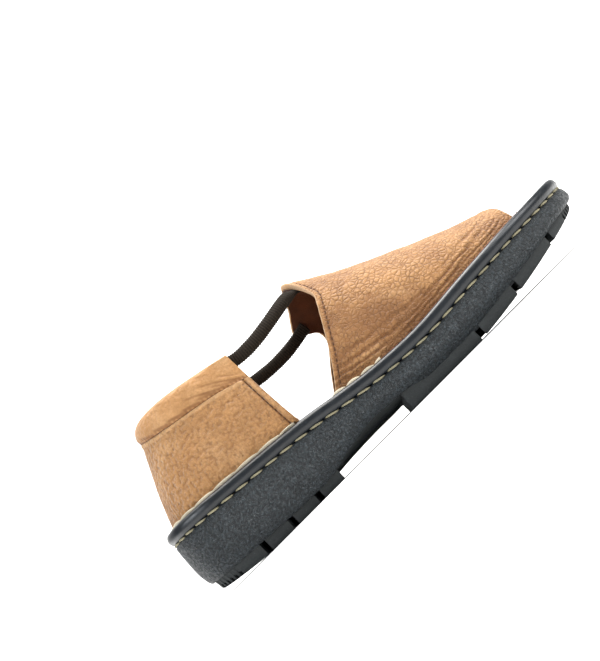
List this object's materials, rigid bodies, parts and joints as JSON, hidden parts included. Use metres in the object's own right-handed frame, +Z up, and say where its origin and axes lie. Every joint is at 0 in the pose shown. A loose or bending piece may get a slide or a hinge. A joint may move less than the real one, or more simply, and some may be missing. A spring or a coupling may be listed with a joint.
{
  "type": "peep toe sandal",
  "caption": "Women's right-foot peep toe sandal with a closed heel: leather vamp open at the toe, padded collar, elastic side straps, rolled welt and lugged moulded sole.",
  "frame": {"origin": "on the floor, under the middle of the sole's length and width", "axes": "+X to the toe, +Y to the medial side, +Z up"},
  "size_m": [0.26, 0.093, 0.0885],
  "materials": {
    "upper_leather": "tumbled tan leather, matt",
    "lining_leather": "smooth orange-brown lining leather",
    "insole_leather": "smooth orange-brown leather over foam",
    "sole_rubber": "charcoal moulded rubber with a leather grain on its side",
    "welt_rubber": "smooth charcoal rubber with a soft sheen",
    "elastic": "dark brown ribbed elastic",
    "thread": "waxed thread"
  },
  "bodies": {
    "root": {"outsole": "sole_rubber", "welt": "welt_rubber", "insole": "insole_leather", "quarter": "upper_leather", "collar": "upper_leather", "vamp": "upper_leather", "strap_lateral": "elastic", "strap_medial": "elastic"}
  },
  "joints": []
}
